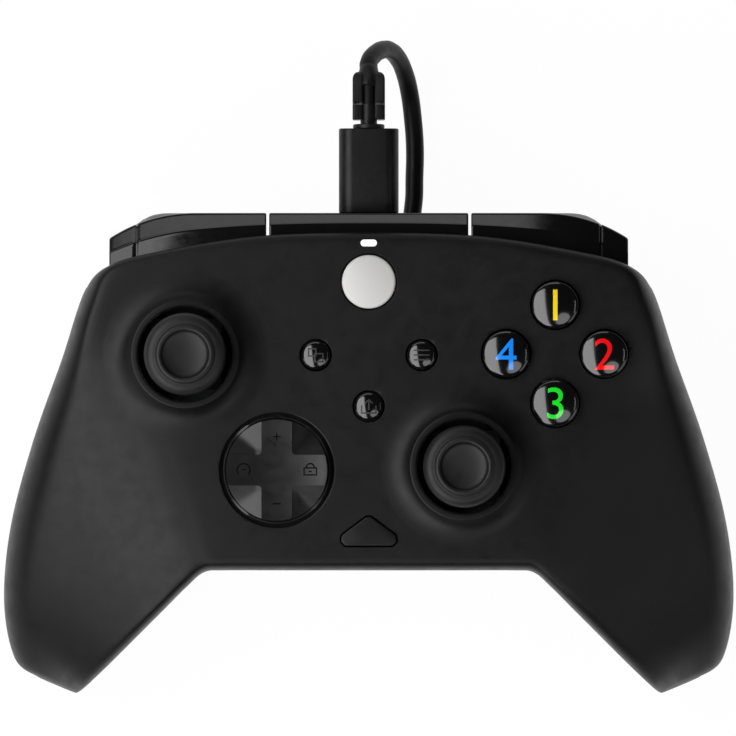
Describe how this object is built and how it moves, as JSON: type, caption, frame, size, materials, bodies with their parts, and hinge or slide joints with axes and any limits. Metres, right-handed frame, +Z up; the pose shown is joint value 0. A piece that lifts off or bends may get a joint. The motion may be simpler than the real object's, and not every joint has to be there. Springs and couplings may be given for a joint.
{
  "type": "wired game controller",
  "caption": "Two-grip wired game controller with thumb sticks, direction pad, push buttons, bumpers, triggers and a coiled lead.",
  "frame": {"origin": "on the table under the middle of the pad without its cord", "axes": "+X to the user's right, +Y away from the user towards the bumpers and plug, +Z up out of the face"},
  "size_m": [0.153, 0.1369, 0.0588],
  "materials": {
    "shell_plastic": "fine matte grain",
    "strip_plastic": "piano gloss",
    "trigger_plastic": "fine matte grain",
    "stick_rubber": "soft touch",
    "key_plastic": "gloss, domed",
    "pad_plastic": "semi gloss",
    "guide_plastic": "satin grey",
    "lens_plastic": "frosted white",
    "board_laminate": "solder mask",
    "frame_plastic": "moulded",
    "steel": "plain",
    "silicone": "matte",
    "cord_jacket": "satin"
  },
  "bodies": {
    "pad": {"front_shell": "shell_plastic", "back_shell": "shell_plastic", "bridge": "strip_plastic", "left_trigger_pin": "steel", "right_trigger_pin": "steel", "left_trigger_spring": "steel", "right_trigger_spring": "steel", "mid_frame": "frame_plastic", "main_board": "board_laminate", "left_stick_base": "steel", "right_stick_base": "steel", "dpad_post": "frame_plastic", "dpad_membrane": "silicone", "face_membrane": "silicone", "center_membrane": "silicone", "led_lens": "lens_plastic", "tact_switches": "frame_plastic", "usb_socket": "steel", "headset_jack": "frame_plastic", "left_rumble_motor": "steel", "right_rumble_motor": "steel", "shell_screws": "steel", "board_screws": "steel", "plug_body": "cord_jacket", "plug_tip": "steel", "strain_relief": "cord_jacket", "cord_lead": "cord_jacket", "cord_coil": "cord_jacket", "coil_tie": "cord_jacket", "cord_tail": "cord_jacket", "far_plug_body": "cord_jacket", "far_plug_shell": "steel"},
    "left_bumper": {"left_bumper": "strip_plastic"},
    "right_bumper": {"right_bumper": "strip_plastic"},
    "left_trigger": {"left_trigger": "trigger_plastic"},
    "right_trigger": {"right_trigger": "trigger_plastic"},
    "top_button": {"top_button": "key_plastic"},
    "right_button": {"right_button": "key_plastic"},
    "bottom_button": {"bottom_button": "key_plastic"},
    "left_button": {"left_button": "key_plastic"},
    "guide_button": {"guide_button": "guide_plastic"},
    "view_button": {"view_button": "key_plastic"},
    "menu_button": {"menu_button": "key_plastic"},
    "share_button": {"share_button": "key_plastic"},
    "function_button": {"function_button": "shell_plastic"},
    "left_rumble_weight": {"left_rumble_weight": "steel"},
    "right_rumble_weight": {"right_rumble_weight": "steel"},
    "left_yoke": {"left_stick_yoke": "frame_plastic"},
    "left_pivot": {"left_stick_pivot": "frame_plastic"},
    "left_stick": {"left_stick_shaft": "steel", "left_stick_cap": "stick_rubber"},
    "right_yoke": {"right_stick_yoke": "frame_plastic"},
    "right_pivot": {"right_stick_pivot": "frame_plastic"},
    "right_stick": {"right_stick_shaft": "steel", "right_stick_cap": "stick_rubber"},
    "dpad_rocker": {"dpad_ball": "steel"},
    "dpad": {"dpad_cap": "pad_plastic"}
  },
  "joints": [
    {"name": "left_bumper_press", "type": "hinge", "parent": "pad", "child": "left_bumper", "pos_m": [-0.023, 0.0439, 0.039], "axis": [0, 0, 1], "range_deg": [0, 2], "stiffness_Nm_per_rad": 0.8, "springref_deg": -1.15},
    {"name": "left_trigger_pull", "type": "hinge", "parent": "pad", "child": "left_trigger", "pos_m": [-0.0367, 0.044, 0.0295], "axis": [-1, 0, 0], "range_deg": [0, 18], "stiffness_Nm_per_rad": 0.05, "springref_deg": -11.46, "deforming": ["left_trigger_spring"]},
    {"name": "right_bumper_press", "type": "hinge", "parent": "pad", "child": "right_bumper", "pos_m": [0.023, 0.0439, 0.039], "axis": [0, 0, -1], "range_deg": [0, 2], "stiffness_Nm_per_rad": 0.8, "springref_deg": -1.15},
    {"name": "right_trigger_pull", "type": "hinge", "parent": "pad", "child": "right_trigger", "pos_m": [0.0367, 0.044, 0.0295], "axis": [-1, 0, 0], "range_deg": [0, 18], "stiffness_Nm_per_rad": 0.05, "springref_deg": -11.46, "deforming": ["right_trigger_spring"]},
    {"name": "left_stick_tilt_forward", "type": "hinge", "parent": "pad", "child": "left_yoke", "pos_m": [-0.0383, 0.0208, 0.0365], "axis": [1, 0, 0], "range_deg": [-20, 20], "stiffness_Nm_per_rad": 0.03},
    {"name": "left_stick_tilt_side", "type": "hinge", "parent": "left_yoke", "child": "left_pivot", "pos_m": [-0.0383, 0.0208, 0.0365], "axis": [0, 1, 0], "range_deg": [-20, 20], "stiffness_Nm_per_rad": 0.03},
    {"name": "left_stick_press", "type": "slide", "parent": "left_pivot", "child": "left_stick", "axis": [0, 0, -1], "range_m": [0, 0.0005], "stiffness_N_per_m": 2000, "springref_m": -0.0005},
    {"name": "right_stick_tilt_forward", "type": "hinge", "parent": "pad", "child": "right_yoke", "pos_m": [0.0199, -0.0026, 0.0365], "axis": [1, 0, 0], "range_deg": [-20, 20], "stiffness_Nm_per_rad": 0.03},
    {"name": "right_stick_tilt_side", "type": "hinge", "parent": "right_yoke", "child": "right_pivot", "pos_m": [0.0199, -0.0026, 0.0365], "axis": [0, 1, 0], "range_deg": [-20, 20], "stiffness_Nm_per_rad": 0.03},
    {"name": "right_stick_press", "type": "slide", "parent": "right_pivot", "child": "right_stick", "axis": [0, 0, -1], "range_m": [0, 0.0005], "stiffness_N_per_m": 2000, "springref_m": -0.0005},
    {"name": "dpad_rock_forward", "type": "hinge", "parent": "pad", "child": "dpad_rocker", "pos_m": [-0.0192, -0.0034, 0.039], "axis": [1, 0, 0], "range_deg": [-4, 4], "stiffness_Nm_per_rad": 0.1, "deforming": ["dpad_membrane"]},
    {"name": "dpad_rock_side", "type": "hinge", "parent": "dpad_rocker", "child": "dpad", "pos_m": [-0.0192, -0.0034, 0.039], "axis": [0, 1, 0], "range_deg": [-4, 4], "stiffness_Nm_per_rad": 0.1, "deforming": ["dpad_membrane"]},
    {"name": "top_button_press", "type": "slide", "parent": "pad", "child": "top_button", "axis": [0, 0, -1], "range_m": [0, 0.0015], "stiffness_N_per_m": 300, "springref_m": -0.0006, "deforming": ["face_membrane"]},
    {"name": "right_button_press", "type": "slide", "parent": "pad", "child": "right_button", "axis": [0, 0, -1], "range_m": [0, 0.0015], "stiffness_N_per_m": 300, "springref_m": -0.0006, "deforming": ["face_membrane"]},
    {"name": "bottom_button_press", "type": "slide", "parent": "pad", "child": "bottom_button", "axis": [0, 0, -1], "range_m": [0, 0.0015], "stiffness_N_per_m": 300, "springref_m": -0.0006, "deforming": ["face_membrane"]},
    {"name": "left_button_press", "type": "slide", "parent": "pad", "child": "left_button", "axis": [0, 0, -1], "range_m": [0, 0.0015], "stiffness_N_per_m": 300, "springref_m": -0.0006, "deforming": ["face_membrane"]},
    {"name": "view_button_press", "type": "slide", "parent": "pad", "child": "view_button", "axis": [0, 0, -1], "range_m": [0, 0.0008], "stiffness_N_per_m": 500, "springref_m": -0.0006, "deforming": ["center_membrane"]},
    {"name": "menu_button_press", "type": "slide", "parent": "pad", "child": "menu_button", "axis": [0, 0, -1], "range_m": [0, 0.0008], "stiffness_N_per_m": 500, "springref_m": -0.0006, "deforming": ["center_membrane"]},
    {"name": "share_button_press", "type": "slide", "parent": "pad", "child": "share_button", "axis": [0, 0, -1], "range_m": [0, 0.0008], "stiffness_N_per_m": 500, "springref_m": -0.0006, "deforming": ["center_membrane"]},
    {"name": "guide_button_press", "type": "slide", "parent": "pad", "child": "guide_button", "axis": [0, 0, -1], "range_m": [0, 0.0006], "stiffness_N_per_m": 1200, "springref_m": -0.0006},
    {"name": "function_button_press", "type": "slide", "parent": "pad", "child": "function_button", "axis": [0, 0, -1], "range_m": [0, 0.0006], "stiffness_N_per_m": 1200, "springref_m": -0.0006},
    {"name": "left_rumble_spin", "type": "hinge", "parent": "pad", "child": "left_rumble_weight", "pos_m": [-0.0615, -0.022, 0.0215], "axis": [0, 0, 1], "continuous": true},
    {"name": "right_rumble_spin", "type": "hinge", "parent": "pad", "child": "right_rumble_weight", "pos_m": [0.0615, -0.022, 0.0215], "axis": [0, 0, 1], "continuous": true}
  ]
}
